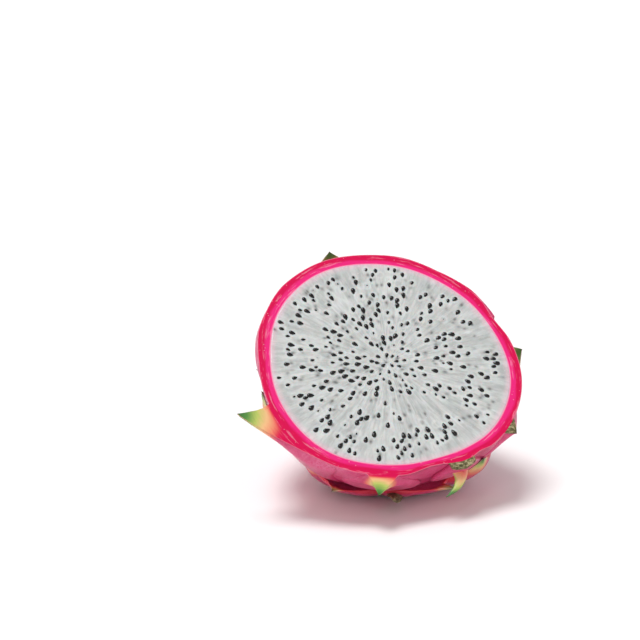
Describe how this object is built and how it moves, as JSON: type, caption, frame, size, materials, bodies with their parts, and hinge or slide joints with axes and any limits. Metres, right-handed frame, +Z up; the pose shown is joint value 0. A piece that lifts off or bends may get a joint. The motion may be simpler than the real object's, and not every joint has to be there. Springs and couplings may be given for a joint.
{
  "type": "dragon fruit half",
  "caption": "Stem half of a cut white-fleshed dragon fruit: pink peel bowl with leaf-like green-tipped scales, flat pale cut face full of small seeds, resting tilted on its side.",
  "frame": {"origin": "middle of the small flat spot that the fruit rests on", "axes": "+Z up, away from the surface it rests on; the cut face looks towards -Y and 48 degrees up; +X is to the right as seen from the cut face"},
  "size_m": [0.1137, 0.0974, 0.0868],
  "materials": {
    "peel": "satin",
    "scale": "satin",
    "flesh": "satin",
    "seed": "gloss",
    "scar": "matte"
  },
  "bodies": {
    "root": {"flesh": "flesh", "peel": "peel", "scale_collar_1": "scale", "scale_collar_2": "scale", "scale_collar_3": "scale", "scale_collar_4": "scale", "scale_collar_5": "scale", "scale_inner_1": "scale", "scale_inner_2": "scale", "scale_inner_3": "scale", "scale_inner_4": "scale", "scale_inner_5": "scale", "scale_inner_6": "scale", "scale_inner_7": "scale", "scale_middle_1": "scale", "scale_middle_2": "scale", "scale_middle_3": "scale", "scale_middle_4": "scale", "scale_middle_5": "scale", "scale_middle_6": "scale", "scale_middle_7": "scale", "scale_middle_8": "scale", "scale_outer_1": "scale", "scale_outer_10": "scale", "scale_outer_2": "scale", "scale_outer_3": "scale", "scale_outer_4": "scale", "scale_outer_5": "scale", "scale_outer_6": "scale", "scale_outer_7": "scale", "scale_outer_8": "scale", "scale_outer_9": "scale", "scale_rim_bottom": "scale", "scale_rim_bottom_right": "scale", "scale_rim_far_left": "scale", "scale_rim_left": "scale", "scale_rim_lower_right": "scale", "scale_rim_right": "scale", "scale_rim_top": "scale", "scale_rim_top_left": "scale", "scale_rim_top_right": "scale", "scale_rim_upper_right": "scale", "stem_scar": "scar"}
  },
  "joints": []
}
